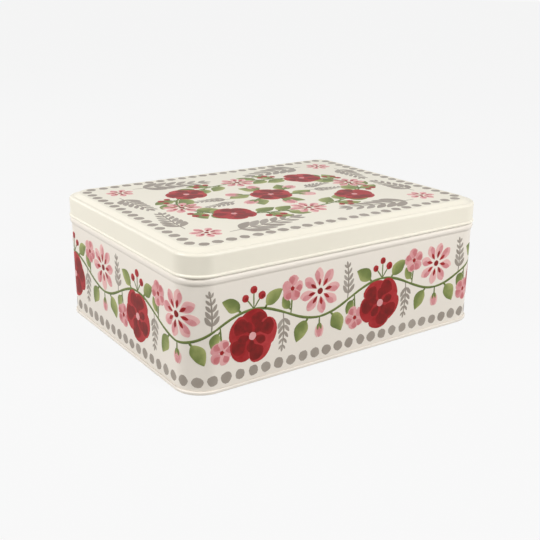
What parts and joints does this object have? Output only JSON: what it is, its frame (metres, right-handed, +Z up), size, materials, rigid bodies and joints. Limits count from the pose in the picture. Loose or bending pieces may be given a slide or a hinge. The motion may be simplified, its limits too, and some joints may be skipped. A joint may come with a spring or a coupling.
{
  "type": "rectangular tin with lift-off lid",
  "caption": "Rectangular printed tinplate box with rounded corners, rolled base seam, stop bead and a slip-on lid that lifts straight off, for keeping a packed lunch, biscuits or cake.",
  "frame": {"origin": "on the surface that the tin stands on, below the middle of the tin", "axes": "+X along the long side, +Y along the short side towards the wall with the side seam, +Z up, the way the lid lifts"},
  "size_m": [0.2478, 0.1906, 0.092],
  "materials": {
    "wall_lacquer": "satin lacquer over tinplate",
    "base_lacquer": "satin lacquer over tinplate",
    "lid_lacquer": "satin lacquer over tinplate"
  },
  "bodies": {
    "tin": {"body_wall": "wall_lacquer", "base_panel": "base_lacquer"},
    "lid": {"lid": "lid_lacquer"}
  },
  "joints": [
    {"name": "lid_lift", "type": "slide", "parent": "tin", "child": "lid", "axis": [0, 0, 1], "range_m": [0, 0.12]}
  ]
}
